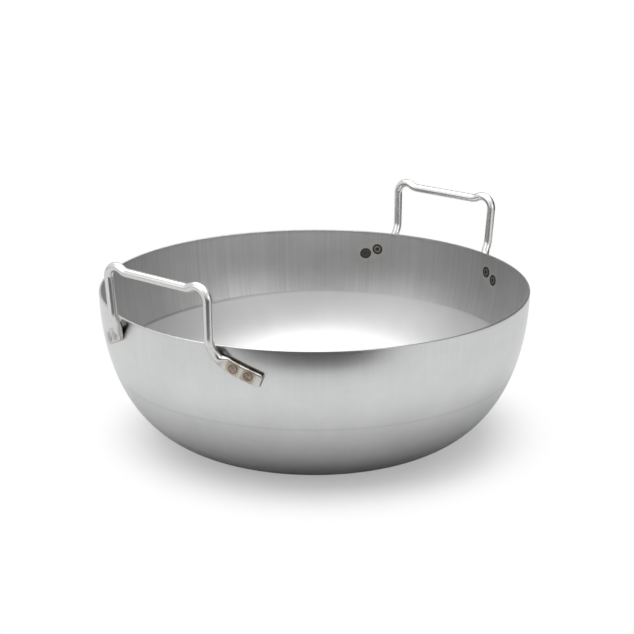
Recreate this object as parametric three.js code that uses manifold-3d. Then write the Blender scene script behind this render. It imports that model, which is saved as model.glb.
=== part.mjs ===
// Deep fryer pot: a deep-drawn bowl of sheet steel with two handles of bent round rod. The rod's
// ends are pressed flat into tabs that follow the outside of the wall, and each tab is held by two
// low-headed rivets. Millimetres, +Z up, origin under the middle of the flat base, handles on X.

import * as THREE from 'three';
import { mergeVertices } from 'three/addons/utils/BufferGeometryUtils.js';
import Module from 'manifold-3d';

// Pot body
const rimRadius = 200; // outside of the wall at the rim
const potHeight = 144; // base to rim
const sheet = 2; // thickness of the drawn sheet
const baseRadius = 103; // flat face that the pot stands on
const kneeReach = 55; // how far the base's tangent carries into the knee
const wallReach = 88; // how far the rim's upright tangent carries down the wall
const rimBreak = 0.4; // edge break of the sheared rim

// Handles, with heights measured from the rim and half widths from the handle's middle
const rodDiameter = 8;
const gripHeight = 48.7; // axis of the straight grip
const humpRise = 3.4; // height of the humps at both ends of the grip over the grip
const humpHalf = 57.8; // half width over the legs' axes at the humps
const footHalf = 55.8; // corner where a leg turns into its tab, before its bend
const footDrop = 11.8;
const kinkBend = 16; // bend radii of the rod's axis
const humpBend = 11;
const footBend = 20;
const legGap = 7.6; // between the wall and a leg that came straight down to the rim
const handleLean = 3.2; // degrees that the handle leans away from the pot

// Tabs
const tabLength = 41; // from the foot's corner to the end
const tabSlope = 23; // degrees that a tab falls towards its end
const tabWidth = 12;
const tabThickness = 3.6;
const tabFill = 1.3; // how far the section fills its corners, from 1 for an oval to 1.4 for a bar
const tabCornerCut = 1.6; // corners clipped off the square end
const shoulderDrop = 3.2; // below the foot's corner, where the tab is full and lies on the wall
const flattenHeight = 6; // height over which the round rod turns into the flat tab
const joggleHeight = 25; // height over which a leg closes on the wall

// Rivets
const rivetShank = 5;
const rivetPitch = 14; // between the two rivets of a tab
const rivetEdge = 11.5; // from the lower rivet to the tab's end
const innerHead = 11; // head inside the pot
const outerHead = 8.4; // head on the tab
const headThickness = 0.7;
const headChamfer = 0.3;
const dimpleRadius = 2;
const dimpleDepth = 0.4;

// Clearances
const seatGap = 0.3; // between faces that seat on each other
const shankGap = 0.3; // around a rivet in its holes

// Facets
const potSides = 96;
const wallSteps = 16;
const rodSides = 12;
const halfRodSteps = 48;
const rivetSides = 16;
const weldTolerance = 1e-4; // points closer than this are one point
const halvings = 40; // steps of a search by halving

const wasm = await Module();
wasm.setup();

const { lerp, smoothstep } = THREE.MathUtils;
const tabOffset = seatGap + tabThickness / 2; // a tab's axis over the wall's outside
const steel = { color: 0xb4b5b6, roughness: 0.38, metalness: 1 };
const rodSteel = { color: 0xcacac8, roughness: 0.24, metalness: 1 };
const rivetSteel = { color: 0x5d534b, roughness: 0.5, metalness: 1 };

// A closed solid from a geometry: equal points merged, triangles without area dropped
function toSolid(geometry) {
  const bare = new THREE.BufferGeometry();
  bare.setAttribute('position', geometry.attributes.position);
  bare.setIndex(geometry.index);
  const merged = mergeVertices(bare, weldTolerance);
  const corners = merged.index.array;
  const triangles = [];
  for (let i = 0; i < corners.length; i += 3) {
    const [a, b, c] = corners.subarray(i, i + 3);
    if (a !== b && b !== c && c !== a) triangles.push(a, b, c);
  }
  return new wasm.Manifold(new wasm.Mesh({
    numProp: 3,
    vertProperties: merged.attributes.position.array,
    triVerts: new Uint32Array(triangles),
  }));
}

function toMesh(name, solid, look) {
  const { vertProperties, triVerts } = solid.getMesh();
  const geometry = new THREE.BufferGeometry();
  geometry.setAttribute('position', new THREE.BufferAttribute(vertProperties, 3));
  geometry.setIndex(new THREE.BufferAttribute(triVerts, 1));
  geometry.computeVertexNormals();
  const mesh = new THREE.Mesh(geometry, new THREE.MeshStandardMaterial(look));
  mesh.name = name;
  return mesh;
}

// Outside of the pot from the edge of the flat base to the rim, as radius and height
const wallCurve = new THREE.CubicBezierCurve(
  new THREE.Vector2(baseRadius, 0),
  new THREE.Vector2(baseRadius + kneeReach, 0),
  new THREE.Vector2(rimRadius, potHeight - wallReach),
  new THREE.Vector2(rimRadius, potHeight),
);

// Outward normal of the wall in the plane of its profile
function profileNormal(t) {
  const along = wallCurve.getTangent(t);
  return new THREE.Vector2(along.y, -along.x);
}

// Place on the wall's curve at a height, found by halving; above the rim the wall counts as upright
function wallParameter(height) {
  let low = 0;
  let high = 1;
  for (let i = 0; i < halvings; i += 1) {
    const middle = (low + high) / 2;
    if (wallCurve.getPoint(middle).y < height) low = middle;
    else high = middle;
  }
  return (low + high) / 2;
}

function wallRadius(height) {
  return wallCurve.getPoint(wallParameter(height)).x;
}

function wallNormal(angle, height) {
  const normal = profileNormal(wallParameter(height));
  return new THREE.Vector3(normal.x * Math.cos(angle), normal.x * Math.sin(angle), normal.y);
}

// The bowl as one turned profile: base, outside, rim, inside
function potSolid() {
  const outside = [];
  const inside = [];
  const top = wallParameter(potHeight - rimBreak);
  for (let i = 0; i <= wallSteps; i += 1) {
    const t = (top * i) / wallSteps;
    const point = wallCurve.getPoint(t);
    outside.push(point);
    inside.unshift(point.clone().addScaledVector(profileNormal(t), -sheet));
  }
  const profile = [
    new THREE.Vector2(0, 0),
    ...outside,
    new THREE.Vector2(rimRadius - rimBreak, potHeight),
    new THREE.Vector2(rimRadius - sheet + rimBreak, potHeight),
    ...inside,
    new THREE.Vector2(0, sheet),
  ];
  const turned = new THREE.LatheGeometry(profile, potSides);
  return toSolid(turned.rotateX(Math.PI / 2));
}

// Rod axis from the middle of the grip to a tab's end, seen square to the handle: across, and up
// from the rim. A kink lifts the grip into a hump, the hump turns down into the leg, and the foot's
// bend turns the leg into the tab.
function halfOutline() {
  const hump = new THREE.Vector2(humpHalf - humpBend, gripHeight + humpRise - humpBend);
  const bends = kinkBend + humpBend;
  const kinkShift = Math.sqrt(bends ** 2 - (bends - humpRise) ** 2);
  const kink = new THREE.Vector2(hump.x - kinkShift, gripHeight + kinkBend);
  const meeting = kink.clone().sub(hump).angle();

  const foot = new THREE.Vector2(footHalf, -footDrop);
  const toFoot = foot.clone().sub(hump);
  const legTurn = toFoot.angle() + Math.acos(humpBend / toFoot.length());
  const legTop = new THREE.Vector2(humpBend, 0).rotateAround(new THREE.Vector2(), legTurn).add(hump);
  const legWay = foot.clone().sub(legTop).normalize();

  const seatRadius = wallRadius(potHeight - footDrop) + tabOffset;
  const slope = THREE.MathUtils.degToRad(tabSlope);
  const endAngle = Math.asin(footHalf / seatRadius) + (tabLength * Math.cos(slope)) / seatRadius;
  const end = new THREE.Vector2(
    seatRadius * Math.sin(endAngle),
    -footDrop - tabLength * Math.sin(slope),
  );
  const tabWay = end.clone().sub(foot).normalize();
  const reach = footBend * Math.tan(Math.acos(legWay.dot(tabWay)) / 2);
  const bendStart = foot.clone().addScaledVector(legWay, -reach);
  const bendEnd = foot.clone().addScaledVector(tabWay, reach);
  const outward = new THREE.Vector2(-legWay.y, legWay.x);
  const bend = bendStart.clone().addScaledVector(outward, footBend);

  const outline = new THREE.Path();
  outline.moveTo(0, gripHeight);
  outline.lineTo(kink.x, gripHeight);
  outline.absarc(kink.x, kink.y, kinkBend, -Math.PI / 2, meeting + Math.PI, false);
  outline.absarc(hump.x, hump.y, humpBend, meeting, legTurn, true);
  outline.lineTo(bendStart.x, bendStart.y);
  const startTurn = bendStart.clone().sub(bend).angle();
  const endTurn = bendEnd.clone().sub(bend).angle();
  outline.absarc(bend.x, bend.y, footBend, startTurn, endTurn, false);
  outline.lineTo(end.x, end.y);
  return outline;
}

// How a leg closes on the wall, by its rise over the rim: the share of flat tab in its section, and
// the clear space behind it
const shoulderRise = -footDrop - shoulderDrop;
const flatShare = (rise) => 1 - smoothstep(rise, shoulderRise, shoulderRise + flattenHeight);
const gapBehind = (rise) =>
  lerp(seatGap, legGap, smoothstep(rise, shoulderRise, shoulderRise + joggleHeight));

// Rod axis in space: above the rim it lies in the leaning plane of the handle, and below it keeps
// its clear space to the wall
function handleAxis() {
  const legHalf = lerp(footHalf, humpHalf, footDrop / (footDrop + gripHeight));
  const planeAtRim = Math.sqrt((rimRadius + legGap + rodDiameter / 2) ** 2 - legHalf ** 2);
  const half = halfOutline().getSpacedPoints(halfRodSteps).map(({ x: across, y: rise }) => {
    const height = potHeight + rise;
    const plane = planeAtRim + rise * Math.tan(THREE.MathUtils.degToRad(handleLean));
    const halfThickness = lerp(rodDiameter / 2, tabThickness / 2, flatShare(rise));
    const clear = wallRadius(height) + gapBehind(rise) + halfThickness;
    const closed = Math.sqrt(clear ** 2 - across ** 2);
    const free = smoothstep(rise, 0, shoulderRise + joggleHeight);
    return new THREE.Vector3(lerp(closed, plane, free), across, height);
  });
  const mirrored = half.slice(1).reverse();
  return [...mirrored.map((point) => point.clone().setY(-point.y)), ...half];
}

// One section point, round on the rod and a flat bar with rounded corners on the tab
function sectionPoint(turn, flat, endCut) {
  const round = new THREE.Vector2(Math.cos(turn), Math.sin(turn)).multiplyScalar(rodDiameter / 2);
  const bar = new THREE.Vector2(
    THREE.MathUtils.clamp(tabFill * Math.cos(turn), -1, 1) * (tabWidth / 2 - endCut),
    THREE.MathUtils.clamp(tabFill * Math.sin(turn), -1, 1) * (tabThickness / 2),
  );
  return round.lerp(bar, flat);
}

// Rings of points along the rod's axis, each ring square to it
function handleRings(axis) {
  const rings = [];
  const last = axis.length - 1;
  const addRing = (i, endCut, shift) => {
    const along = axis[Math.min(i + 1, last)].clone().sub(axis[Math.max(i - 1, 0)]).normalize();
    const centre = axis[i].clone().addScaledVector(along, shift);
    const outward = wallNormal(Math.atan2(centre.y, centre.x), centre.z);
    const wide = new THREE.Vector3().crossVectors(along, outward).normalize();
    const thick = new THREE.Vector3().crossVectors(wide, along);
    const flat = flatShare(centre.z - potHeight);
    const ring = [];
    for (let j = 0; j < rodSides; j += 1) {
      const offset = sectionPoint((2 * Math.PI * j) / rodSides, flat, endCut);
      ring.push(centre.clone().addScaledVector(wide, offset.x).addScaledVector(thick, offset.y));
    }
    rings.push(ring);
  };
  addRing(0, tabCornerCut, 0);
  addRing(0, 0, tabCornerCut);
  for (let i = 1; i < last; i += 1) addRing(i, 0, 0);
  addRing(last, 0, -tabCornerCut);
  addRing(last, tabCornerCut, 0);
  return rings;
}

// A closed skin over rings of equal count, with a flat fan over each end
function skinOver(rings) {
  const sides = rings[0].length;
  const points = rings.flat();
  const index = [];
  for (let i = 0; i < rings.length - 1; i += 1) {
    for (let j = 0; j < sides; j += 1) {
      const a = i * sides + j;
      const b = i * sides + ((j + 1) % sides);
      index.push(a, a + sides, b, b, a + sides, b + sides);
    }
  }
  const end = (rings.length - 1) * sides;
  for (let j = 1; j < sides - 1; j += 1) {
    index.push(0, j, j + 1);
    index.push(end, end + j + 1, end + j);
  }
  const geometry = new THREE.BufferGeometry().setFromPoints(points);
  geometry.setIndex(index);
  return toSolid(geometry);
}

// Point of an axis at a length back from its end
function pointFromEnd(axis, length) {
  let left = length;
  for (let i = axis.length - 1; i > 0; i -= 1) {
    const step = axis[i].distanceTo(axis[i - 1]);
    if (step >= left) return axis[i].clone().lerp(axis[i - 1], left / step);
    left -= step;
  }
  return axis[0].clone();
}

// Places of a handle's rivets on the outside of the wall, each turned with Y along the wall's normal
function rivetPlaces(axis) {
  const mirror = axis.map((point) => point.clone().setY(-point.y));
  const places = [];
  for (const [tab, route] of [['back', axis], ['front', mirror]]) {
    for (const [row, length] of [['upper', rivetEdge + rivetPitch], ['lower', rivetEdge]]) {
      const centre = pointFromEnd(route, length);
      const normal = wallNormal(Math.atan2(centre.y, centre.x), centre.z);
      const place = new THREE.Object3D();
      place.position.copy(centre).addScaledVector(normal, -tabOffset);
      place.quaternion.setFromUnitVectors(new THREE.Vector3(0, 1, 0), normal);
      place.updateMatrix();
      places.push({ tab, row, place });
    }
  }
  return places;
}

// A rivet on its own Y axis, with the wall's outside at zero
function rivetSolid() {
  const innerSeat = -sheet - seatGap;
  const outerSeat = seatGap + tabThickness + seatGap;
  const innerFace = innerSeat - headThickness;
  const outerFace = outerSeat + headThickness;
  const profile = [
    [0, innerFace + dimpleDepth],
    [dimpleRadius, innerFace],
    [innerHead / 2 - headChamfer, innerFace],
    [innerHead / 2, innerFace + headChamfer],
    [innerHead / 2, innerSeat],
    [rivetShank / 2, innerSeat],
    [rivetShank / 2, outerSeat],
    [outerHead / 2, outerSeat],
    [outerHead / 2, outerFace - headChamfer],
    [outerHead / 2 - headChamfer, outerFace],
    [dimpleRadius, outerFace],
    [0, outerFace - dimpleDepth],
  ].map(([radius, along]) => new THREE.Vector2(radius, along));
  return toSolid(new THREE.LatheGeometry(profile, rivetSides));
}

// Clearance hole for a rivet, through tab and wall
function rivetHole(matrix) {
  const depth = 4 * (sheet + tabThickness);
  const hole = new THREE.CylinderGeometry(
    rivetShank / 2 + shankGap,
    rivetShank / 2 + shankGap,
    depth,
    rivetSides,
  );
  return toSolid(hole.applyMatrix4(matrix));
}

const axis = handleAxis();
const places = rivetPlaces(axis);

let body = potSolid();
let handle = skinOver(handleRings(axis));
for (const { place } of places) handle = handle.subtract(rivetHole(place.matrix));

const pot = new THREE.Group();
pot.name = 'deep_fryer_pot';

const otherTab = { back: 'front', front: 'back' };
for (const [side, turn] of [['right', 0], ['left', Math.PI]]) {
  const mount = new THREE.Group();
  mount.rotation.z = turn;
  mount.updateMatrix();
  mount.add(toMesh(`handle_${side}`, handle, rodSteel));
  for (const { tab, row, place } of places) {
    const tabName = turn === 0 ? tab : otherTab[tab];
    const rivet = toMesh(`rivet_${side}_${tabName}_${row}`, rivetSolid(), rivetSteel);
    rivet.position.copy(place.position);
    rivet.quaternion.copy(place.quaternion);
    mount.add(rivet);
    body = body.subtract(rivetHole(mount.matrix.clone().multiply(place.matrix)));
  }
  pot.add(mount);
}
pot.add(toMesh('pot_body', body, steel));

export default pot;
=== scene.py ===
"""Looks of a deep fryer pot: a drawn steel bowl, two bent rod handles and eight low rivets.

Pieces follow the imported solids: +Z up, the origin under the middle of the base, the handles on X.
Their sizes and marks are in millimetres, and the studio around them is in metres.
"""

import math

import bpy
import numpy as np
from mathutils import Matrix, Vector


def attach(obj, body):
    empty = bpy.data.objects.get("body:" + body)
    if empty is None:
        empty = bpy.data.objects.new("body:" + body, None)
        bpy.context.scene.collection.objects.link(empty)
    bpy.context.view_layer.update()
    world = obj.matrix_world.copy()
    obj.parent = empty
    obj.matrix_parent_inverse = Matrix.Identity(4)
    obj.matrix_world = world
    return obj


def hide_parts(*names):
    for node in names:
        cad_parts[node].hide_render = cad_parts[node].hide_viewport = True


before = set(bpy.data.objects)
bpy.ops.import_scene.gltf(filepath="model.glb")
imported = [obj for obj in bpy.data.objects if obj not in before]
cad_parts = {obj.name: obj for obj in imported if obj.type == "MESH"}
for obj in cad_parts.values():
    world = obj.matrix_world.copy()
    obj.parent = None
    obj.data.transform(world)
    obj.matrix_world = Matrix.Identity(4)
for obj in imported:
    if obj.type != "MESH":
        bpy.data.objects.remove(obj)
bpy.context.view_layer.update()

MM = 0.001

# Pot
RIM_RADIUS = 199.99  # a hair under the solid's 200, to stay inside its box
POT_HEIGHT = 144.0
SHEET = 2.0
BASE_RADIUS = 103.0
KNEE_REACH = 55.0  # how far the wall's curve is pulled out along the ground
WALL_REACH = 88.0  # how far it is pulled straight down from the rim
RIM_ROUND = 0.85
OUTER_CREASE = 70.0  # height over which the outside was ironed thinner
INNER_CREASE = 80.0
OUTER_STEP = 0.036  # depth of the step that the ironing left
INNER_STEP = 0.06
CREASE_WIDTH = 1.6
STEP_FADE = 20.0  # the step fades from this far over the crease to this far under the rim
POT_SIDES = 288
WALL_READINGS = 4001
WALL_ROWS = 88
CREASE_ROWS = 21  # rows added around a crease
CREASE_SPAN = 0.02  # share of the wall's curve that they cover on each side of it
RIM_ROWS = 7
UNDERSIDE_ROWS = 9
FLOOR_ROWS = 14

# Handles: half widths and heights over the rim are those of the rod's axis
ROD = 7.98  # a hair under the solid's 8
GRIP_HEIGHT = 48.7
HUMP_RISE = 3.4
HUMP_HALF = 57.8
FOOT_HALF = 55.8
FOOT_DROP = 11.8
KINK_BEND = 16.0
HUMP_BEND = 11.0
FOOT_BEND = 20.0
LEG_GAP = 7.6
HANDLE_LEAN = math.radians(3.2)
ROD_SIDES = 48
ROD_STEP = 0.6  # from row to row along the rod
AXIS_NUDGE = 0.05  # steps to both sides that give the axis its direction
AXIS_READINGS = 2001
JOIN_SLACK = 1e-9

# Tabs
TAB_LENGTH = 41.0
TAB_SLOPE = math.radians(23)
TAB_WIDTH = 12.0
TAB_THICKNESS = 3.6
TAB_SQUARENESS = 6.0  # exponent of the pressed section, 2 for round
TAB_CORNER_CUT = 1.6
TAB_EDGE_ROUND = 0.3
TAB_END_ROWS = 6  # rows over the end's rounding, and as many over its clipped corners
TAB_END_RING = 0.6  # size of the ring of points on the end's flat face
TAB_NUDGE = 0.5  # step that gives the tab its direction at a rivet
SHOULDER_DROP = 3.2  # from the foot down to where the rod is pressed quite flat
FLATTEN_HEIGHT = 6.0  # over which it goes from flat to round
JOGGLE_HEIGHT = 25.0  # over which it moves away from the wall
SEAT_GAP = 0.3

# Rivets
RIVET_PITCH = 14.0
RIVET_EDGE = 11.5
RIVET_SHANK = 5.0
INNER_HEAD = 11.0
OUTER_HEAD = 8.4
HEAD_PROUD = 0.4  # how far the set heads stand out of the metal
HEAD_EDGE = 0.14  # width of the rounded edge, as a share of the head's radius
HEAD_RING = 0.62, 0.07, 0.10  # place and width as shares of the radius, and depth
HEAD_SWELL = 0.36, 0.1, 0.08  # the same for the swelling inside the ring, and its height
HEAD_ROWS = (1, 0.86, 7), (0.84, 0.5, 10), (0.48, 0, 16)  # from share to share, and how many
PIT_WIDTH = 0.2  # as a share of the radius
INNER_PIT = 0.3
HEAD_UNDERCUT = 0.05  # how far a head's underside slopes into the hole
OVAL_RIVET = "rivet_right_back_lower"  # its inner head was set aslant
OVAL_STRETCH = 0.13
RIVET_SIDES = 64


def eased(value, low, high):
    """Share from 0 at low to 1 at high, eased as 3t² - 2t³."""
    t = np.clip((value - low) / (high - low), 0, 1)
    return t * t * (3 - 2 * t)


def between(a, b, share):
    """Point at a share of the way from a to b."""
    return a + (b - a) * share


def unit(vectors):
    """Vectors of length one."""
    return vectors / np.linalg.norm(vectors, axis=-1, keepdims=True)


def round_angles(sides):
    """Angles of points spaced evenly around a circle."""
    return np.arange(sides) * (2 * np.pi / sides)


WALL_PULLS = np.array([
    [BASE_RADIUS, 0],
    [BASE_RADIUS + KNEE_REACH, 0],
    [RIM_RADIUS, POT_HEIGHT - WALL_REACH],
    [RIM_RADIUS, POT_HEIGHT],
])


def wall_outside(t):
    """Radius and height of the wall's outside: four pulls weighted s³, 3ts², 3t²s and t³, s = 1 - t."""
    s = 1 - t
    return np.stack([s**3, 3 * t * s**2, 3 * t**2 * s, t**3], -1) @ WALL_PULLS


def wall_normal(t):
    """Outward normal of that curve in its own plane: the curve's slope turned a quarter."""
    s = 1 - t
    slope = unit(np.stack([-s * s, s * s - 2 * t * s, 2 * t * s - t * t, t * t], -1) @ WALL_PULLS)
    return np.stack([slope[..., 1], -slope[..., 0]], -1)


WALL_STATIONS = np.linspace(0, 1, WALL_READINGS)
WALL_TABLE = wall_outside(WALL_STATIONS)


def wall_station(height):
    """Place on the wall's curve at a height; above the rim the wall counts as upright."""
    return np.interp(height, WALL_TABLE[:, 1], WALL_STATIONS)


def wall_facing(points):
    """Outward normal of the wall in space behind points around the pot."""
    normal = wall_normal(wall_station(points[..., 2]))
    round_way = unit(points[..., :2])
    return np.concatenate([round_way * normal[..., :1], normal[..., 1:]], -1)


def skin_over(name, rings, readings):
    """Mesh over closed rings of points, rows by sides, that ends in one point at each end row.

    readings are values for each ring point, kept as attributes of the mesh for its finish.
    """
    rows, sides = rings.shape[:2]

    def by_point(grid):
        """Values of a ring grid in the mesh's order: first point, rings, last point."""
        flat = grid.reshape(rows, sides, -1)
        middle = flat[1:-1].reshape(-1, flat.shape[-1])
        return np.concatenate([flat[:1, 0], middle, flat[-1:, 0]])

    points = by_point(rings) * MM
    ring = 1 + np.arange((rows - 2) * sides).reshape(rows - 2, sides)
    after = np.roll(ring, -1, axis=1)
    quads = np.stack([ring[:-1], after[:-1], after[1:], ring[1:]], -1).reshape(-1, 4)
    first = np.stack([np.zeros_like(ring[0]), after[0], ring[0]], -1)
    last = np.stack([np.full_like(ring[0], len(points) - 1), ring[-1], after[-1]], -1)
    mesh = bpy.data.meshes.new(name)
    mesh.from_pydata(points.tolist(), [], first.tolist() + quads.tolist() + last.tolist())
    mesh.polygons.foreach_set("use_smooth", np.ones(len(mesh.polygons), bool))
    for reading, grid in readings.items():
        values = by_point(np.broadcast_to(grid, (rows, sides) + np.shape(grid)[2:]))
        kind, field = ("FLOAT_VECTOR", "vector") if values.shape[1] == 3 else ("FLOAT", "value")
        mesh.attributes.new(reading, kind, "POINT").data.foreach_set(field, values.ravel())
    mesh.update()
    piece = bpy.data.objects.new(name, mesh)
    bpy.context.scene.collection.objects.link(piece)
    return piece


def turned(profile, sides):
    """Rings of a profile of radii and heights turned around Z."""
    turn = round_angles(sides)
    radius, height = profile[:, :1], profile[:, 1:]
    return np.stack([radius * np.cos(turn), radius * np.sin(turn), height + 0 * turn], -1)


def wall_rows(crease):
    """Places along the wall's curve up to the rim's rounding, closer together around the crease."""
    evenly = np.linspace(0, wall_station(POT_HEIGHT - RIM_ROUND), WALL_ROWS)
    middle = wall_station(crease)
    extra = np.linspace(middle - CREASE_SPAN, middle + CREASE_SPAN, CREASE_ROWS)
    return np.unique(np.concatenate([evenly, extra]))


def ironed_share(height, crease):
    """Share of the ironing's step at a height: eased in across the crease and out towards the rim."""
    stepped = eased(height, crease - CREASE_WIDTH / 2, crease + CREASE_WIDTH / 2)
    return stepped * (1 - eased(height, crease + STEP_FADE, POT_HEIGHT - STEP_FADE))


def rim_quarter(radius, start):
    """A quarter turn of the rim's rounding from an angle on, around a centre at a radius."""
    turn = start + np.linspace(0, np.pi / 2, RIM_ROWS)
    centre = np.array([radius, POT_HEIGHT - RIM_ROUND])
    return centre + RIM_ROUND * np.stack([np.cos(turn), np.sin(turn)], -1)


def pot_piece():
    """The bowl: underside, outside wall, rounded rim, inside wall and floor as one turned profile.

    The inside lies one sheet from the outside along the wall's normal, and over its crease each face
    steps into the sheet.
    """
    t = wall_rows(OUTER_CREASE)
    outside = wall_outside(t)
    outside = outside - wall_normal(t) * OUTER_STEP * ironed_share(outside[:, 1:], OUTER_CREASE)
    t = wall_rows(INNER_CREASE)[::-1]
    inside = wall_outside(t)
    inside = inside - wall_normal(t) * (SHEET - INNER_STEP * ironed_share(inside[:, 1:], INNER_CREASE))

    outer_round = rim_quarter(RIM_RADIUS - RIM_ROUND, 0)
    inner_round = rim_quarter(RIM_RADIUS - SHEET + RIM_ROUND, np.pi / 2)
    underside = np.linspace(0, BASE_RADIUS, UNDERSIDE_ROWS)[:-1]
    inner_floor = np.linspace(BASE_RADIUS, 0, FLOOR_ROWS)[1:]
    profile = np.concatenate([
        np.stack([underside, 0 * underside], -1),
        outside[:-1],
        outer_round,
        inner_round,
        inside[1:],
        np.stack([inner_floor, 0 * inner_floor + SHEET], -1),
    ])
    rim_row = len(underside) + len(outside) - 1 + len(outer_round)
    inside_share = (np.arange(len(profile)) >= rim_row).astype(float)
    return skin_over("pot", turned(profile, POT_SIDES), {"inside": inside_share[:, None]})


def straight(start, end):
    """A straight stretch of rod: its length, and its points as start plus the way to the end by lengths."""
    start, end = np.array(start), np.array(end)

    def points(run):
        return start + unit(end - start) * run[:, None]

    return math.dist(start, end), points


def bend(centre, radius, start, sweep):
    """A bend of the rod from an angle on: its length, and its points by lengths along it.

    A point is the centre plus the radius along the start's angle turned by length over radius.
    """

    def points(run):
        turn = start + math.copysign(1, sweep) * run / radius
        return centre + radius * np.stack([np.cos(turn), np.sin(turn)], -1)

    return abs(sweep) * radius, points


def rod_stretches():
    """Half of the rod from the middle of its grip, as places across and heights over the rim.

    A straight grip, a kink that lifts it, a hump that turns it down, a straight leg, a foot bend and a
    straight tab, joined as lines and arcs that share their tangents.
    """
    hump = np.array([HUMP_HALF - HUMP_BEND, GRIP_HEIGHT + HUMP_RISE - HUMP_BEND])
    bends = KINK_BEND + HUMP_BEND
    kink = np.array([
        hump[0] - math.sqrt(bends**2 - (bends - HUMP_RISE) ** 2),
        GRIP_HEIGHT + KINK_BEND,
    ])
    meeting = math.atan2(*(kink - hump)[::-1])
    foot = np.array([FOOT_HALF, -FOOT_DROP])
    to_foot = foot - hump
    leg_turn = math.atan2(to_foot[1], to_foot[0]) + math.acos(HUMP_BEND / math.hypot(*to_foot))
    leg_top = hump + HUMP_BEND * np.array([math.cos(leg_turn), math.sin(leg_turn)])
    leg_way = unit(foot - leg_top)

    seat = wall_outside(wall_station(POT_HEIGHT - FOOT_DROP))[0] + SEAT_GAP + TAB_THICKNESS / 2
    end_turn = math.asin(FOOT_HALF / seat) + TAB_LENGTH * math.cos(TAB_SLOPE) / seat
    end = np.array([seat * math.sin(end_turn), -FOOT_DROP - TAB_LENGTH * math.sin(TAB_SLOPE)])
    tab_way = unit(end - foot)
    foot_turn = math.acos(leg_way @ tab_way)
    reach = FOOT_BEND * math.tan(foot_turn / 2)
    foot_start = foot - leg_way * reach
    foot_end = foot + tab_way * reach
    foot_centre = foot_start + FOOT_BEND * np.array([-leg_way[1], leg_way[0]])
    foot_from = math.atan2(*(foot_start - foot_centre)[::-1])
    return [
        straight((0, GRIP_HEIGHT), (kink[0], GRIP_HEIGHT)),
        bend(kink, KINK_BEND, -math.pi / 2, meeting - math.pi / 2),
        bend(hump, HUMP_BEND, meeting, leg_turn - meeting),
        straight(leg_top, foot_start),
        bend(foot_centre, FOOT_BEND, foot_from, foot_turn),
        straight(foot_end, end),
    ]


ROD_STRETCHES = rod_stretches()
STRETCH_STARTS = np.cumsum([0] + [length for length, _ in ROD_STRETCHES])
HALF_ROD = STRETCH_STARTS[-1]
SHOULDER_RISE = -FOOT_DROP - SHOULDER_DROP


def rod_outline(way):
    """Places across and heights over the rim of the rod's axis at lengths from the middle of the grip."""
    outline = np.zeros((len(way), 2))
    for begin, (_, points) in zip(STRETCH_STARTS, ROD_STRETCHES):
        outline = np.where((way >= begin - JOIN_SLACK)[:, None], points(way - begin), outline)
    return outline


def flat_share(rise):
    """How far the round rod is pressed flat, by its height over the rim."""
    return 1 - eased(rise, SHOULDER_RISE, SHOULDER_RISE + FLATTEN_HEIGHT)


def rod_axis(way):
    """The right handle's axis at signed lengths from the middle of its grip.

    Above the rim it lies in the leaning plane of the handle, and below it keeps its space to the wall.
    """
    across, rise = rod_outline(np.abs(way)).T
    leg_half = between(FOOT_HALF, HUMP_HALF, FOOT_DROP / (FOOT_DROP + GRIP_HEIGHT))
    plane = math.sqrt((RIM_RADIUS + LEG_GAP + ROD / 2) ** 2 - leg_half**2) + rise * math.tan(HANDLE_LEAN)
    half = between(ROD / 2, TAB_THICKNESS / 2, flat_share(rise))
    behind = between(SEAT_GAP, LEG_GAP, eased(rise, SHOULDER_RISE, SHOULDER_RISE + JOGGLE_HEIGHT))
    wall = wall_outside(wall_station(POT_HEIGHT + rise))[:, 0]
    closed = np.sqrt((wall + behind + half) ** 2 - across**2)
    out = between(closed, plane, eased(rise, 0, SHOULDER_RISE + JOGGLE_HEIGHT))
    return np.stack([out, np.sign(way) * across, POT_HEIGHT + rise], -1)


def rod_section(turn, flat, cut, inset):
    """Section of the rod: a circle, drawn towards a bar |x|ⁿ + |y|ⁿ = 1 where it is pressed flat.

    cut narrows the bar at its clipped corners, and inset shrinks the section at the end's rounding.
    """
    cos, sin = np.cos(turn), np.sin(turn)
    power = 2 / TAB_SQUARENESS
    bar_x = np.sign(cos) * np.abs(cos) ** power * (TAB_WIDTH / 2 - cut)
    bar_y = np.sign(sin) * np.abs(sin) ** power * (TAB_THICKNESS / 2)
    x = between(cos * ROD / 2, bar_x, flat)
    y = between(sin * ROD / 2, bar_y, flat)
    return x * (1 - inset / (TAB_WIDTH / 2)), y * (1 - inset / (TAB_THICKNESS / 2))


def both_halves(values, middle):
    """Values of the rows from one end of the rod to the middle of its grip, and back for the other half."""
    return np.concatenate([values, [middle], values[::-1]])


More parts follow.
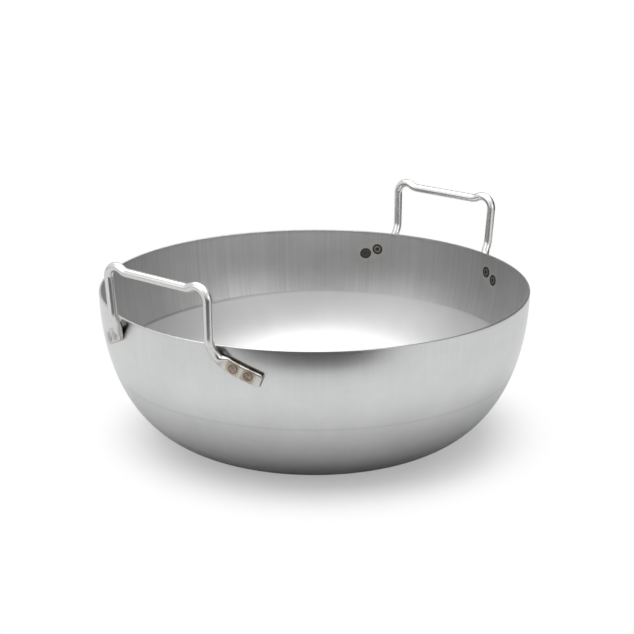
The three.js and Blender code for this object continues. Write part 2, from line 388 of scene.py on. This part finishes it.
def handle_piece(name, facing):
    """One handle: the rod's section carried along its axis, pressed flat and clipped at both ends.

    facing is 1 for the handle on +X and -1 for the one on -X, which is the same turned half round.
    """
    turn_in = np.linspace(np.pi / 2, 0, TAB_END_ROWS)
    rounding = TAB_EDGE_ROUND * (1 - np.sin(turn_in))
    lost = TAB_EDGE_ROUND * (1 - np.cos(turn_in))
    clipped = np.linspace(TAB_EDGE_ROUND, TAB_CORNER_CUT, TAB_END_ROWS)[1:-1]
    plain = np.concatenate([clipped, np.arange(TAB_CORNER_CUT, HALF_ROD, ROD_STEP)])
    from_end = both_halves(np.concatenate([[0, 0], rounding, plain]), HALF_ROD)
    inset = both_halves(np.concatenate([[0, TAB_EDGE_ROUND], lost, 0 * plain]), 0)[:, None]
    scale = both_halves(np.concatenate([[0, TAB_END_RING], 0 * lost + 1, 0 * plain + 1]), 1)[:, None]
    side = np.sign(np.arange(len(from_end)) - len(from_end) // 2)
    way = side * (HALF_ROD - from_end)

    axis = rod_axis(way)
    back = np.clip(way - AXIS_NUDGE, -HALF_ROD, HALF_ROD)
    ahead = np.clip(way + AXIS_NUDGE, -HALF_ROD, HALF_ROD)
    along = unit(rod_axis(ahead) - rod_axis(back))
    wide = unit(np.cross(along, wall_facing(axis)))
    thick = np.cross(wide, along)
    flat = flat_share(axis[:, 2] - POT_HEIGHT)[:, None]
    cut = np.clip(TAB_CORNER_CUT - from_end, 0, None)[:, None]
    turn = -round_angles(ROD_SIDES)
    x, y = rod_section(turn, flat, cut, inset)
    rings = axis[:, None] + wide[:, None] * (x * scale)[..., None]
    rings = (rings + thick[:, None] * (y * scale)[..., None]) * np.array([facing, facing, 1])
    lay = np.stack(np.broadcast_arrays(np.cos(turn), np.sin(turn), way[:, None] * MM), -1)
    return skin_over(name, rings, {"lay": lay, "pressed": flat})


def rivet_places():
    """Points on the wall's outside, normals and tab directions of the two rivets of the +X +Y tab."""
    axis = rod_axis(np.linspace(0, HALF_ROD, AXIS_READINGS))
    run = np.concatenate([[0], np.cumsum(np.linalg.norm(np.diff(axis, axis=0), axis=1))])

    def on_axis(length):
        """Points of the axis at lengths of rod."""
        return np.stack([np.interp(length, run, axis[:, i]) for i in range(3)], -1)

    at = run[-1] - np.array([RIVET_EDGE + RIVET_PITCH, RIVET_EDGE])
    centre = on_axis(at)
    normal = wall_facing(centre)
    tab_way = on_axis(at + TAB_NUDGE) - centre
    tab_way = unit(tab_way - normal * np.sum(normal * tab_way, -1, keepdims=True))
    return centre - normal * (SEAT_GAP + TAB_THICKNESS / 2), normal, tab_way


def swell(share, place, width, height):
    """A smooth swelling: height times e to the power of -u², u the distance from its place in widths."""
    return height * np.exp(-(((share - place) / width) ** 2))


def head_profile(radius, face, away, pit_depth):
    """Radii and heights of a set head from its edge to its middle.

    A flat face with an edge rounded as a quarter ellipse, a pressed ring, a swelling and a pit. face is
    the height of the metal under it, and away is 1 or -1, the way the head stands out.
    """
    share = np.concatenate([np.linspace(*rows) for rows in HEAD_ROWS])
    edge = np.sqrt(np.clip(1 - ((share - 1 + HEAD_EDGE) / HEAD_EDGE).clip(0) ** 2, 0, 1))
    height = HEAD_PROUD * edge - swell(share, *HEAD_RING) + swell(share, *HEAD_SWELL)
    height = height - swell(share, 0, PIT_WIDTH, pit_depth)
    return np.stack([share * radius, face + away * height], -1)


def rivet_piece(name, place, normal, tab_way, oval):
    """A rivet on its own axis: inner head, shank and outer head as one turned profile.

    oval is the share by which the inner head is stretched along the tab, times the cosine squared
    around its axis.
    """
    outer_face = SEAT_GAP + TAB_THICKNESS
    inner = head_profile(INNER_HEAD / 2, -SHEET, -1, INNER_PIT)[::-1]
    outer = head_profile(OUTER_HEAD / 2, outer_face, 1, 0.0)
    shank = np.array([
        [RIVET_SHANK / 2, HEAD_UNDERCUT - SHEET],
        [RIVET_SHANK / 2, outer_face - HEAD_UNDERCUT],
    ])
    profile = np.concatenate([inner, shank, outer])
    inside = (np.arange(len(profile)) < len(inner)).astype(float)[:, None]
    rounds = turned(profile, RIVET_SIDES)
    face = np.concatenate([rounds[..., :2], np.full_like(rounds[..., :1], np.sign(oval))], -1)
    rounds[..., 0] *= 1 + oval * inside * np.cos(round_angles(RIVET_SIDES)) ** 2
    rings = place + rounds @ np.stack([tab_way, np.cross(normal, tab_way), normal])
    return skin_over(name, rings, {"face": face, "inside": inside})


class Reading:
    """One socket of a finish. Python's operators on it add Math nodes."""

    def __init__(self, finish, socket):
        self.finish = finish
        self.socket = socket

    def combined(self, operation, first, second=0.0):
        """The Math node of an operation on two numbers or readings."""
        return self.finish.node("ShaderNodeMath", {"operation": operation}, {0: first, 1: second})

    def __add__(self, other):
        return self.combined("ADD", self, other)

    def __radd__(self, other):
        return self.combined("ADD", other, self)

    def __sub__(self, other):
        return self.combined("SUBTRACT", self, other)

    def __rsub__(self, other):
        return self.combined("SUBTRACT", other, self)

    def __mul__(self, other):
        return self.combined("MULTIPLY", self, other)

    def __rmul__(self, other):
        return self.combined("MULTIPLY", other, self)

    def __truediv__(self, other):
        return self.combined("DIVIDE", self, other)

    def __rtruediv__(self, other):
        return self.combined("DIVIDE", other, self)

    def size(self):
        """The value without its sign."""
        return self.combined("ABSOLUTE", self)

    def least(self, other):
        """The smaller of two values."""
        return self.combined("MINIMUM", self, other)

    def most(self, other):
        """The larger of two values."""
        return self.combined("MAXIMUM", self, other)


class Finish:
    """A shader graph, with one method that makes every node."""

    def __init__(self, tree):
        self.tree = tree
        tree.nodes.clear()

    def node(self, kind, settings=None, values=None, output=0):
        """A node of a kind: settings first, then numbers or readings on its sockets."""
        made = self.tree.nodes.new(kind)
        for key, value in (settings or {}).items():
            setattr(made, key, value)
        for key, value in (values or {}).items():
            if isinstance(value, Reading):
                self.tree.links.new(value.socket, made.inputs[key])
            else:
                made.inputs[key].default_value = value
        return Reading(self, made.outputs[output]) if made.outputs else None

    def place(self):
        """Place on the object, in metres."""
        return self.node("ShaderNodeTexCoord", output="Object")

    def kept(self, name, output="Fac"):
        """A reading that was kept on the mesh."""
        return self.node("ShaderNodeAttribute", {"attribute_name": name}, output=output)

    def ray(self, kind):
        """1 for rays of one kind, 0 for the others."""
        return self.node("ShaderNodeLightPath", output=kind)

    def part(self, vector, axis):
        """One of a vector's three numbers."""
        return self.node("ShaderNodeSeparateXYZ", None, {0: vector}, axis)

    def joined(self, *numbers):
        """A vector of three numbers."""
        return self.node("ShaderNodeCombineXYZ", None, dict(enumerate(numbers)))

    def vector(self, operation, *vectors, output="Vector"):
        """Vector Math of one to three vectors."""
        return self.node("ShaderNodeVectorMath", {"operation": operation}, dict(enumerate(vectors)), output)

    def scaled(self, vector, scale):
        """A vector times a number."""
        return self.node("ShaderNodeVectorMath", {"operation": "SCALE"}, {0: vector, "Scale": scale})

    def length(self, vector):
        """Length of a vector."""
        return self.vector("LENGTH", vector, output="Value")

    def dot(self, first, second):
        """Dot product of two vectors."""
        return self.vector("DOT_PRODUCT", first, second, output="Value")

    def colour(self, share, first, second):
        """Colour at a share of the way from the first to the second.

        The node has a set of sockets for each kind of value under the same names, so these go by number.
        """
        return self.node("ShaderNodeMix", {"data_type": "RGBA"}, {0: share, 6: first, 7: second}, 2)

    def step(self, value, low, high):
        """Eased share of a value between low and high; low may be the larger."""
        settings = {"interpolation_type": "SMOOTHSTEP"}
        if low <= high:
            sockets = {"Value": value, "From Min": low, "From Max": high}
        else:
            sockets = {"Value": value, "From Min": high, "From Max": low, "To Min": 1.0, "To Max": 0.0}
        return self.node("ShaderNodeMapRange", settings, sockets)

    def noise(self, vector, scale, detail=2.0, rough=0.5):
        """Soft noise around 0.5 on a vector."""
        values = {"Vector": vector, "Scale": scale, "Detail": detail, "Roughness": rough}
        return self.node("ShaderNodeTexNoise", {"noise_dimensions": "3D"}, values)

    def ripple(self, vector, scale, detail=2.0, rough=0.5):
        """The same noise around 0."""
        return self.noise(vector, scale, detail, rough) - 0.5

    def off_line(self, x, y, start, end):
        """Distance of a place x, y from a straight line between two points.

        The nearest point is at a share of the line's run: (place - start)·run / run·run, from 0 to 1.
        """
        run_x, run_y = end[0] - start[0], end[1] - start[1]
        from_x, from_y = x - start[0], y - start[1]
        share = ((from_x * run_x + from_y * run_y) / (run_x**2 + run_y**2)).most(0.0).least(1.0)
        return self.length(self.joined(from_x - share * run_x, from_y - share * run_y, 0.0))

    def bump(self, relief, strength, depth):
        """Normal of a surface with a fine relief."""
        values = {"Strength": strength, "Distance": depth * MM, "Height": relief}
        return self.node("ShaderNodeBump", None, values)


def material_of(name):
    """A new material and its graph."""
    made = bpy.data.materials.new(name)
    made.use_nodes = True
    return made, Finish(made.node_tree)


def grey(level, warm=0.0):
    """A grey as a colour, warmed or cooled by a small share."""
    return (level * (1 + warm), level, level * (1 - warm), 1)


def metal(finish, colour, roughness, normal, anisotropic, edge):
    """Closing nodes of a bare metal; edge is its tint where it is seen at a low angle."""
    values = {
        "Base Color": colour,
        "Metallic": 1.0,
        "Roughness": roughness,
        "Anisotropic": anisotropic,
        "Specular Tint": grey(edge),
        "Normal": normal,
    }
    shader = finish.node("ShaderNodeBsdfPrincipled", None, values)
    finish.node("ShaderNodeOutputMaterial", None, {"Surface": shader})


HEAT_CHANGE = 10.0  # half of the way along Y over which the heat and the painted shade by the tabs change
# the back tabs are cooler and carry less painted shade
BACK_LESS_HEAT_AND_SHADE = 0.7


def tab_heat_and_shade(finish, at):
    """How hot the rivets of a tab were set, which also scales the painted shade by the tab: 1 on the front
    tabs, less on the back ones.
    """
    return 1 - finish.step(finish.part(at, "Y"), -HEAT_CHANGE, HEAT_CHANGE) * BACK_LESS_HEAT_AND_SHADE


# Sheet. Two greys are the darkest and the palest of a face, and two distances are where a mark starts
# and where it is full
OUTSIDE_GREYS = grey(0.53, -0.008), grey(0.71, -0.004)
UPPER_GREYS = grey(0.38), grey(0.525, 0.004)
LOWER_GREYS = grey(0.475, -0.004), grey(0.615)
# Painted shade along the crease
CREASE_SHADE_GREY = grey(0.12)
# Sheared rim edge, darkened all round, with a painted dark reflection on one side
SHEARED_GREY = grey(0.09)
# Painted shade and dark reflection on the wall by the tabs and the legs' feet
TAB_SHADE_BLACK = (0.03, 0.028, 0.027, 1)
WARMED_STRAW = (0.56, 0.53, 0.45, 1)
FINE_LINES = 170  # draw lines by their scale around the pot
BROAD_LINES = 38
LINE_RUN = 5  # scale along the lines
HOOPS = 1400  # turning marks by their scale along Z
HOOP_RUN = 2
CLOUDS = 22
GRAIN = 1500
LOW_CREASE_SHADE_SIDE = (-0.64, 0.77, 0)  # side where the inner crease lies lower and its painted shade is strongest
LOW_CREASE_SHADE_SPREAD = -0.1, 0.9  # cosines of the angle from that side
KEEN_DROP = 4.5
CREASE_EDGE = 0.6  # half of the way over which the finish changes at the crease
CREASE_DARK = 1.8, 0.5
OUTER_LINES = 95.0, 135.0  # heights between which the draw lines get clearer outside
TAB_SHADE_TOP = 143.6, 142.6
SHEARED_EDGE = 143.1, 143.6
RIM_REFLECTION_SIDE = (0.64, -0.77, 0)  # side where the sheared edge gets a painted dark reflection over its plain darkening
RIM_REFLECTION_SPREAD = 0.0, 0.45
WARMED_EDGE = 9.5, 6.5  # from the line between two rivets, inside
WARMED_WANDER = 4.0
# Painted shade and dark reflection on the wall by a tab: lines between two places along and across the tab
# from its upper rivet, the distances from a line, and how black it gets
SEAM_SHADE_LINE = (-9.0, 6.0), (23.5, 6.0)
SEAM_SHADE_EDGE = 2.7, 0.9
TAB_SHADE_LINES = (
    (((-9.0, 6.0), (-21.0, 11.5)), (5.0, 1.5), 0.9),  # over the leg's foot
    (((25.7, 5.0), (25.7, -5.5)), (0.8, 0.2), 0.8),  # along the tab's end
    (((-8.0, 1.0), (-22.0, 8.0)), (6.0, 3.0), 0.9),  # behind the leg's foot
)
TAB_SHADE_SHARE = 0.92
WARMED_SHARE = 0.35


def pot_finish(rivet, normal, tab_way):
    """Raw drawn sheet: upright draw lines over the crease, smooth under it, clouded and marked.

    Noise that is fine around the pot and long along Z gives the draw lines, and the other way round it
    gives the hoops. The painted shade and dark reflection by the tabs follow the tab of one rivet, folded
    over to all four tabs.
    """
    made, f = material_of("drawn_sheet_steel")
    place = f.place()
    at = f.scaled(place, 1 / MM)
    height = f.part(at, "Z")
    inside = f.kept("inside")
    way_out = f.vector("NORMALIZE", f.vector("MULTIPLY", place, (1, 1, 0)))

    def wrapped(around, upright, detail, rough):
        """Noise by its scales around the pot and along Z."""
        on_wall = f.vector("MULTIPLY_ADD", place, (0, 0, upright), f.scaled(way_out, around))
        return f.ripple(on_wall, 1, detail, rough)

    cloud = f.ripple(place, CLOUDS, detail=5, rough=0.65)
    grain = f.ripple(place, GRAIN)
    low_crease_and_shade = f.step(f.dot(way_out, LOW_CREASE_SHADE_SIDE), *LOW_CREASE_SHADE_SPREAD)
    crease = OUTER_CREASE + inside * (INNER_CREASE - OUTER_CREASE - low_crease_and_shade * KEEN_DROP)
    above = f.step(height - crease, -CREASE_EDGE, CREASE_EDGE)
    drawn = above * inside.most(0.25 + f.step(height, *OUTER_LINES) * 0.5)
    lines = wrapped(FINE_LINES, LINE_RUN, detail=3, rough=0.6) * (0.7 + inside * 0.8) * drawn
    bands = wrapped(BROAD_LINES, LINE_RUN, detail=2, rough=0.5) * (1.0 + inside * 1.6) * drawn
    hoops = wrapped(HOOP_RUN, HOOPS, detail=3, rough=0.6) * (1 - above * inside * 0.6)

    tone = 0.5 + lines * 0.75 + bands * 0.25 + hoops * 0.26 + cloud * 0.8
    inner = f.colour(above, f.colour(tone, *LOWER_GREYS), f.colour(tone, *UPPER_GREYS))
    colour = f.colour(inside, f.colour(tone, *OUTSIDE_GREYS), inner)
    # Painted shade along both creases, strongest inside on the side where the crease lies lower; the groove
    # also dents the relief
    crease_groove_and_shade = f.step((height - crease).size(), *CREASE_DARK)
    colour = f.colour(crease_groove_and_shade * (0.10 + inside * low_crease_and_shade * 0.30), colour, CREASE_SHADE_GREY)

    from_rivet = f.vector("SUBTRACT", f.vector("ABSOLUTE", at), tuple(rivet))
    tab_up = np.cross(normal, tab_way)
    along = f.dot(from_rivet, tuple(tab_way))
    across = f.dot(from_rivet, tuple(tab_up * np.sign(tab_up[2])))
    # Painted shade and dark reflection on the outside wall along each tab's top, at its end and beside the
    # leg's foot, strongest by the front tabs and faded out under the rim
    tab_shade = f.step(f.off_line(along, across, *SEAM_SHADE_LINE) + cloud, *SEAM_SHADE_EDGE) * tab_heat_and_shade(f, at)
    for line, edge, share in TAB_SHADE_LINES:
        tab_shade = tab_shade.most(f.step(f.off_line(along, across, *line), *edge) * share)
    tab_shade = tab_shade * (1 - inside) * f.step(height, *TAB_SHADE_TOP)
    colour = f.colour(tab_shade * TAB_SHADE_SHARE, colour, TAB_SHADE_BLACK)
    warmed = f.off_line(along, across, (0.0, 0.0), (RIVET_PITCH, 0.0)) + cloud * WARMED_WANDER
    colour = f.colour(f.step(warmed, *WARMED_EDGE) * inside * WARMED_SHARE, colour, WARMED_STRAW)
    # The sheared rim edge is darkened all round, and more on one side as a painted dark reflection
    dark_edge_and_reflection = 0.3 + f.step(f.dot(way_out, RIM_REFLECTION_SIDE), *RIM_REFLECTION_SPREAD) * 0.5
    colour = f.colour(f.step(height, *SHEARED_EDGE) * dark_edge_and_reflection, colour, SHEARED_GREY)

    roughness = 0.30 + inside * (0.18 - above * 0.08) - lines * 0.14 + cloud * 0.08 + hoops * 0.05
    relief = lines * 0.8 + bands * 0.5 + hoops * 0.25 + grain * 0.12 - crease_groove_and_shade
    metal(f, colour, roughness, f.bump(relief, strength=0.35, depth=0.06), anisotropic=0.7, edge=1.0)
    return made


# Rod
ROD_GREYS = grey(0.58, 0.012), grey(0.68, 0.01)
TAB_STRAW = (0.60, 0.55, 0.42, 1)
TAB_BROWN = (0.34, 0.27, 0.22, 1)
ROD_LINES = (9, 9, 12)  # scales around and along the rod
DENTS = 260
TINT_CLOUDS = 130
TINT_WANDER = 9.0
STRAW_EDGE = 12.5, 6.5  # from a rivet's middle
BROWN_EDGE = 8.5, 5.5


def rod_finish(rivets):
    """Bright drawn rod with fine lines along it, dented where it is pressed and tinted around the rivets."""
    made, f = material_of("drawn_rod_steel")
    place = f.place()
    at = f.scaled(place, 1 / MM)
    pressed = f.kept("pressed")
    lines = f.ripple(f.vector("MULTIPLY", f.kept("lay", "Vector"), ROD_LINES), 1)
    dents = f.ripple(place, DENTS)

    folded = f.vector("ABSOLUTE", at)
    to_upper, to_lower = [f.length(f.vector("SUBTRACT", folded, tuple(rivet))) for rivet in rivets]
    away = to_upper.least(to_lower) + f.ripple(place, TINT_CLOUDS) * TINT_WANDER
    heat = tab_heat_and_shade(f, at)
    straw = f.step(away, *STRAW_EDGE) * heat
    brown = f.step(away, *BROWN_EDGE) * heat

    tone = 0.5 + lines * 0.4 + dents * 0.4 * pressed
    colour = f.colour(straw * 0.5, f.colour(tone, *ROD_GREYS), TAB_STRAW)
    colour = f.colour(brown * 0.7, colour, TAB_BROWN)
    roughness = 0.25 + lines * 0.06 + pressed * (0.06 + dents * 0.1) + straw * 0.05
    relief = lines * 0.06 + dents * pressed
    metal(f, colour, roughness, f.bump(relief, strength=0.1, depth=0.04), anisotropic=0.0, edge=0.8)
    return made


# Rivet heads
OUTER_BROWNS = (0.30, 0.235, 0.19, 1), (0.44, 0.36, 0.30, 1)
SCALE_BROWN = (0.14, 0.10, 0.075, 1)
COOL_HEAD = grey(0.52, 0.01)
INNER_BLACKS = (0.03, 0.03, 0.029, 1), (0.065, 0.064, 0.062, 1)
RING_GREY = (0.21, 0.21, 0.205, 1)
PIT_BLACK = (0.025, 0.025, 0.024, 1)
BLOTCHES = 420
RIM_BAND = 0.72, 0.9  # bands by their share of the head's radius
RING_START = 0.30, 0.40
RING_END = 0.66, 0.54
PIT_BAND = 0.30, 0.18
STREAK_ACROSS = (0.405, 0.801, 0)  # scales of the streaks on a head's face
STREAK_ALONG = (0.1424, -0.072, 0)
STREAK_BAND = 0.46, 0.62
STREAK_SHIFT = 90  # sets the streaks of each head apart from the others'


def rivet_finish():
    """Oxide on set heads: dark with a paler ring inside the pot, brown and streaked on the tabs.

    The streaks are noise drawn out along one way over the face. The oval head has no pit and little ring.
    """
    made, f = material_of("heat_darkened_steel")
    place = f.place()
    face = f.kept("face", "Vector")
    inside = f.kept("inside")
    plain = f.part(face, "Z")
    blotch = f.noise(place, BLOTCHES, detail=3, rough=0.6)
    uneven = blotch - 0.5
    radius = OUTER_HEAD / 2 + inside * ((INNER_HEAD - OUTER_HEAD) / 2)
    share = f.length(f.vector("MULTIPLY", face, (1, 1, 0))) / radius + uneven * 0.12
    rim = f.step(share, *RIM_BAND)
    ring = f.step(share, *RING_START) * f.step(share, *RING_END)
    pit = f.step(share, *PIT_BAND)
    combed = f.joined(f.dot(face, STREAK_ACROSS), f.dot(face, STREAK_ALONG), 0.0)
    combed = f.vector("ADD", combed, f.scaled(place, STREAK_SHIFT))
    streaks = f.step(f.noise(combed, 1, detail=1), *STREAK_BAND)

    outer = f.colour(blotch, *OUTER_BROWNS)
    outer = f.colour((rim * 0.85).most(streaks * 0.75), outer, SCALE_BROWN)
    cooler = (1 - tab_heat_and_shade(f, f.scaled(place, 1 / MM))) * 1.15
    outer = f.colour(cooler, outer, COOL_HEAD)
    inner = f.colour(blotch, *INNER_BLACKS)
    inner = f.colour(ring * (1 - plain * 0.9) * 0.75, inner, RING_GREY)
    inner = f.colour(pit * (1 - plain) * 0.9, inner, PIT_BLACK)
    colour = f.colour(inside, outer, inner)
    roughness = 0.42 + uneven * 0.2 + inside * 0.08
    metal(f, colour, roughness, f.bump(uneven, strength=0.4, depth=0.1), anisotropic=0.0, edge=0.6)
    return made


def dressed(piece, made, node):
    """Gives a piece its finish and its place in the frame."""
    piece.data.materials.append(made)
    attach(piece, "root")
    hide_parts(node)


rivet_points, rivet_normals, rivet_ways = rivet_places()
tab_faces = rivet_points + rivet_normals * (SEAT_GAP + TAB_THICKNESS)

pot_steel = pot_finish(rivet_points[0], rivet_normals[0], rivet_ways[0])
rod_steel = rod_finish(tab_faces)
rivet_steel = rivet_finish()

dressed(pot_piece(), pot_steel, "pot_body")
for hand, facing in (("right", 1), ("left", -1)):
    name = f"handle_{hand}"
    dressed(handle_piece(name + "_rod", facing), rod_steel, name)
    for end, side in (("back", 1), ("front", -1)):
        for row, point, normal, way in zip(("upper", "lower"), rivet_points, rivet_normals, rivet_ways):
            flip = np.array([facing, side, 1])
            node = f"rivet_{hand}_{end}_{row}"
            oval = OVAL_STRETCH if node == OVAL_RIVET else 0.0
            piece = rivet_piece(node + "_set", point * flip, normal * flip, way * flip, oval)
            dressed(piece, rivet_steel, node)

# Studio, in metres, laid out along the way the camera looks
CAMERA_PLACE = Vector((-1.1410, -0.9470, 0.5780))
CAMERA_WAY = Vector((0.7344, 0.6076, -0.3024))
SENSOR = 36
LENS = 93.83
FRAME_SHIFT = 0.0047
VIEW_RANGE = 0.05, 60
DEEP = Vector((CAMERA_WAY.x, CAMERA_WAY.y, 0)).normalized()
RIGHT = Vector((DEEP.y, -DEEP.x, 0))
LAMP_AIM = Vector((0, 0, 0.08))


def studio(right, deep, up):
    """A point in the studio by its distances to the right, away from the camera and up."""
    return RIGHT * right + DEEP * deep + Vector((0, 0, up))


camera = bpy.data.objects.new("camera", bpy.data.cameras.new("camera"))
bpy.context.scene.collection.objects.link(camera)
camera.location = CAMERA_PLACE
camera.rotation_mode = "QUATERNION"
camera.rotation_quaternion = CAMERA_WAY.to_track_quat("-Z", "Y")
camera.data.sensor_width = SENSOR
camera.data.lens = LENS
camera.data.shift_y = FRAME_SHIFT
camera.data.clip_start, camera.data.clip_end = VIEW_RANGE
bpy.context.scene.camera = camera


def softbox(name, place, width, height, power):
    """A soft lamp that faces the middle of the pot."""
    lamp = bpy.data.lights.new(name, "AREA")
    lamp.shape = "RECTANGLE"
    lamp.size = width
    lamp.size_y = height
    lamp.energy = power
    made = bpy.data.objects.new(name, lamp)
    bpy.context.scene.collection.objects.link(made)
    made.location = place
    made.rotation_mode = "QUATERNION"
    made.rotation_quaternion = (LAMP_AIM - place).to_track_quat("-Z", "Y")


softbox("softbox_top", studio(-0.1, 0.0, 1.4), width=2.1, height=2.0, power=32.0)
softbox("softbox_left", studio(-1.15, -0.7, 0.65), width=0.9, height=0.7, power=2.0)
softbox("softbox_right", studio(1.05, -1.0, 0.5), width=0.5, height=0.4, power=1.3)


def flat_card(name, corners, made_of):
    """A flat sheet through four corners, which belongs to the studio."""
    mesh = bpy.data.meshes.new(name)
    mesh.from_pydata([tuple(corner) for corner in corners], [], [(0, 1, 2, 3)])
    mesh.materials.append(made_of)
    card = bpy.data.objects.new(name, mesh)
    bpy.context.scene.collection.objects.link(card)
    return card


def seen_rays(finish):
    """1 for rays by which the floor and backdrop are seen, straight or in metal and glass."""
    mirrored = finish.ray("Is Glossy Ray").most(finish.ray("Is Transmission Ray"))
    return finish.ray("Is Camera Ray").most(mirrored)


# Floor, by the distance from under the middle of the pot
FLOOR_REACH = 14
# Painted contact shade: for all but camera rays the floor is darker close to the pot
CONTACT_SHADE_GREYS = grey(0.55), grey(0.80)
CONTACT_SHADE_EDGE = 0.10, 0.24  # where the painted contact shade close to the pot runs out
SHOWN_GREY = grey(1.08)  # of the floor that the camera sees
SHADOW_EDGE = 0.165, 0.24  # where the shadow that the camera sees runs out
SHADOW_LIFT = 0.36  # share of plain white in that shadow
MIRROR_EDGE = 0.215, 0.345  # where the floor that metal mirrors turns plain white
PLAIN_WHITE = {"Color": (1, 1, 1, 1), "Strength": 1.0}


def floor_finish():
    """Pale floor that keeps shadows near the pot, has painted contact shade close to it for all but camera
    rays, and runs out into plain white.
    """
    made, f = material_of("pale_floor")
    away = f.length(f.place())
    to_camera = f.ray("Is Camera Ray")
    # Painted contact shade: for all but camera rays the floor is darker close to the pot
    level = f.colour(to_camera, f.colour(f.step(away, *CONTACT_SHADE_EDGE), *CONTACT_SHADE_GREYS), SHOWN_GREY)
    matt = f.node("ShaderNodeBsdfDiffuse", None, {"Color": level})
    white = f.node("ShaderNodeEmission", None, PLAIN_WHITE)
    open_floor = seen_rays(f) * f.step(away, *MIRROR_EDGE)
    shown = to_camera * (SHADOW_LIFT + f.step(away, *SHADOW_EDGE) * (1 - SHADOW_LIFT))
    shader = f.node("ShaderNodeMixShader", None, {0: open_floor.most(shown), 1: matt, 2: white})
    f.node("ShaderNodeOutputMaterial", None, {"Surface": shader})
    return made


floor_corners = [(x * FLOOR_REACH, y * FLOOR_REACH, 0) for x, y in ((-1, -1), (1, -1), (1, 1), (-1, 1))]
flat_card("floor", floor_corners, floor_finish())

CARD_GREYS = grey(0.09), grey(0.20)
CARD_FADE = 0.04, 0.11  # heights between which the cards get paler


def card_finish():
    """Dull dark cloth, darkest close to the floor."""
    made, f = material_of("dark_cloth")
    level = f.colour(f.step(f.part(f.place(), "Z"), *CARD_FADE), *CARD_GREYS)
    matt = f.node("ShaderNodeBsdfDiffuse", None, {"Color": level})
    f.node("ShaderNodeOutputMaterial", None, {"Surface": matt})
    return made


dark_cloth = card_finish()


def dark_card(name, left, right, bottom, top):
    """An upright dark card over a line on the floor, seen in the metal alone."""
    corners = [studio(*left, bottom), studio(*right, bottom), studio(*right, top), studio(*left, top)]
    card = flat_card(name, corners, dark_cloth)
    card.visible_camera = False
    card.visible_shadow = False
    card.visible_diffuse = False


dark_card("card_front", left=(-0.3, -0.455), right=(0.25, -0.455), bottom=0.0, top=0.2)
dark_card("card_left", left=(-1.4, -1.0), right=(-1.4, 0.5), bottom=0.0, top=0.1)
dark_card("card_right", left=(0.5, 0.95), right=(0.85, -0.2), bottom=0.0, top=0.6)
dark_card("card_camera", left=(-0.22, -1.6), right=(0.14, -1.6), bottom=0.3, top=0.75)
dark_card("card_back", left=(-0.9, 1.5), right=(0.9, 1.5), bottom=0.7, top=1.1)

FILL_LIGHT = {"Color": (1, 1, 1, 1), "Strength": 0.22}

world = bpy.data.worlds.new("white_studio")
bpy.context.scene.world = world
world.use_nodes = True
world.cycles.sampling_method = "NONE"  # the metal mirrors the backdrop at its full level
sky = Finish(world.node_tree)
white = sky.node("ShaderNodeBackground", None, PLAIN_WHITE)
fill = sky.node("ShaderNodeBackground", None, FILL_LIGHT)
shown = sky.node("ShaderNodeMixShader", None, {0: seen_rays(sky), 1: fill, 2: white})
sky.node("ShaderNodeOutputWorld", None, {"Surface": shown})

bpy.context.scene.view_settings.view_transform = "Standard"
